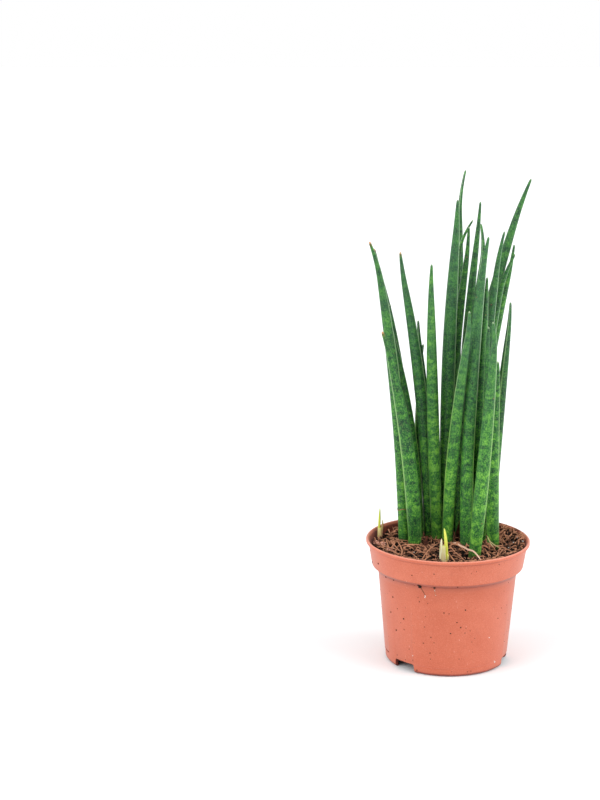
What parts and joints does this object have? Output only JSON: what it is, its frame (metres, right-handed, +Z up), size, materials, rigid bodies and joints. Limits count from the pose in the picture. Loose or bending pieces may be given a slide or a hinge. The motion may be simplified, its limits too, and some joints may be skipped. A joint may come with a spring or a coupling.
{
  "type": "cylindrical snake plant in a nursery pot",
  "caption": "Cylindrical snake plant: a clump of tall round tapering leaves and young shoots, rooted in fibrous soil in a round plastic nursery pot with a rim band and drain openings.",
  "frame": {"origin": "centre of the pot's foot, on the surface that the pot stands on", "axes": "+Z up, along the pot's axis; -Y towards the side with the front shoot, +X to the right seen from there"},
  "size_m": [0.1238, 0.1286, 0.3556],
  "materials": {
    "pot": "smooth moulded terracotta-coloured plastic, slightly glossy on the bead, with a few specks of soil",
    "soil": "loose brown coir and peat fibre with a few white grains",
    "leaf": "waxy, cross-banded in light and dark green, with pale channel edges and a dry point",
    "shoot": "smooth yellow-green point in a cream and pinkish sheath"
  },
  "bodies": {
    "root": {"pot": "pot", "soil": "soil", "leaf_01": "leaf", "leaf_02": "leaf", "leaf_03": "leaf", "leaf_04": "leaf", "leaf_05": "leaf", "leaf_06": "leaf", "leaf_07": "leaf", "leaf_08": "leaf", "leaf_09": "leaf", "leaf_10": "leaf", "leaf_11": "leaf", "leaf_12": "leaf", "leaf_13": "leaf", "leaf_14": "leaf", "leaf_15": "leaf", "leaf_16": "leaf", "leaf_17": "leaf", "leaf_18": "leaf", "leaf_19": "leaf", "leaf_20": "leaf", "leaf_21": "leaf", "leaf_22": "leaf", "leaf_23": "leaf", "leaf_24": "leaf", "leaf_25": "leaf", "shoot_front": "shoot", "shoot_left": "shoot"}
  },
  "joints": []
}
